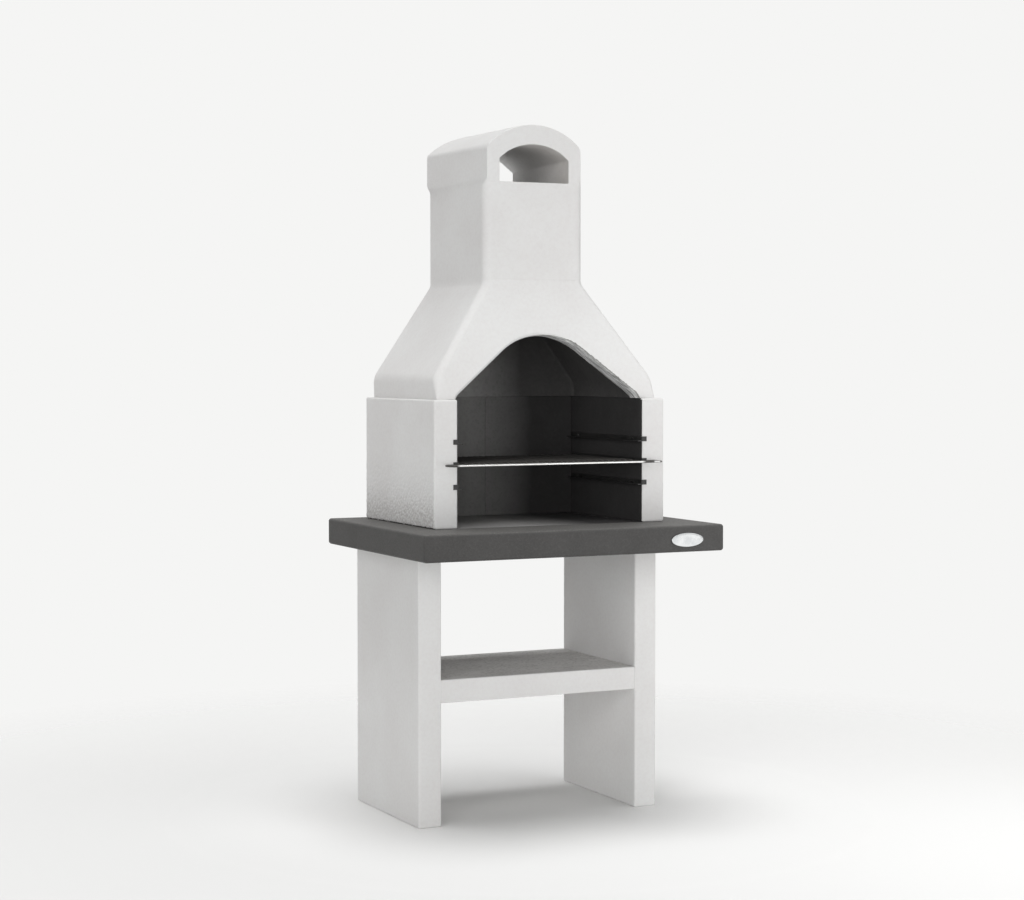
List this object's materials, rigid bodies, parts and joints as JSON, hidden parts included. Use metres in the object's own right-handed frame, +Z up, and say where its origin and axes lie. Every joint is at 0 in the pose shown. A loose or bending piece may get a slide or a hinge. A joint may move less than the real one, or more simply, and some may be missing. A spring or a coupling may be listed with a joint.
{
  "type": "outdoor masonry barbecue",
  "caption": "Free-standing cast-concrete barbecue: slab legs with a shelf, a worktop, a lined firebox with rails and a sliding wire grate, an arched hood, and a chimney with a vented cap.",
  "frame": {"origin": "on the floor, under the middle of the worktop", "axes": "+Z up, the open front of the firebox faces -Y, +X to the right as seen from the front"},
  "size_m": [1, 0.7663, 2.1265],
  "materials": {
    "white_concrete": "white painted cast concrete, matt",
    "grey_worktop_concrete": "dark grey cast concrete, fine ground face",
    "dark_refractory": "cast refractory slab, dark and matt",
    "black_steel": "black painted steel sheet",
    "zinc_plated_steel": "zinc plated steel",
    "chromed_wire": "chromed steel wire",
    "silver_badge": "silver plate, bare"
  },
  "bodies": {
    "masonry": {"left_leg": "white_concrete", "right_leg": "white_concrete", "shelf": "white_concrete", "worktop": "grey_worktop_concrete", "badge_plate": "silver_badge", "hearth_slab_left": "dark_refractory", "hearth_slab_right": "dark_refractory", "left_cheek": "white_concrete", "right_cheek": "white_concrete", "rear_wall": "white_concrete", "lining_left": "dark_refractory", "lining_right": "dark_refractory", "rear_lining_left": "dark_refractory", "rear_lining_right": "dark_refractory", "hood": "white_concrete", "chimney_shaft": "white_concrete", "chimney_cap": "white_concrete", "rail_left_lower": "black_steel", "rail_left_middle": "black_steel", "rail_left_upper": "black_steel", "rail_right_lower": "black_steel", "rail_right_middle": "black_steel", "rail_right_upper": "black_steel", "rail_screw_left_lower_1": "zinc_plated_steel", "rail_screw_left_lower_2": "zinc_plated_steel", "rail_screw_left_middle_1": "zinc_plated_steel", "rail_screw_left_middle_2": "zinc_plated_steel", "rail_screw_left_upper_1": "zinc_plated_steel", "rail_screw_left_upper_2": "zinc_plated_steel", "rail_screw_right_lower_1": "zinc_plated_steel", "rail_screw_right_lower_2": "zinc_plated_steel", "rail_screw_right_middle_1": "zinc_plated_steel", "rail_screw_right_middle_2": "zinc_plated_steel", "rail_screw_right_upper_1": "zinc_plated_steel", "rail_screw_right_upper_2": "zinc_plated_steel"},
    "grate": {"grate": "chromed_wire"}
  },
  "joints": [
    {"name": "grate_slide", "type": "slide", "parent": "masonry", "child": "grate", "axis": [0, -1, 0], "range_m": [0, 0.19]}
  ]
}
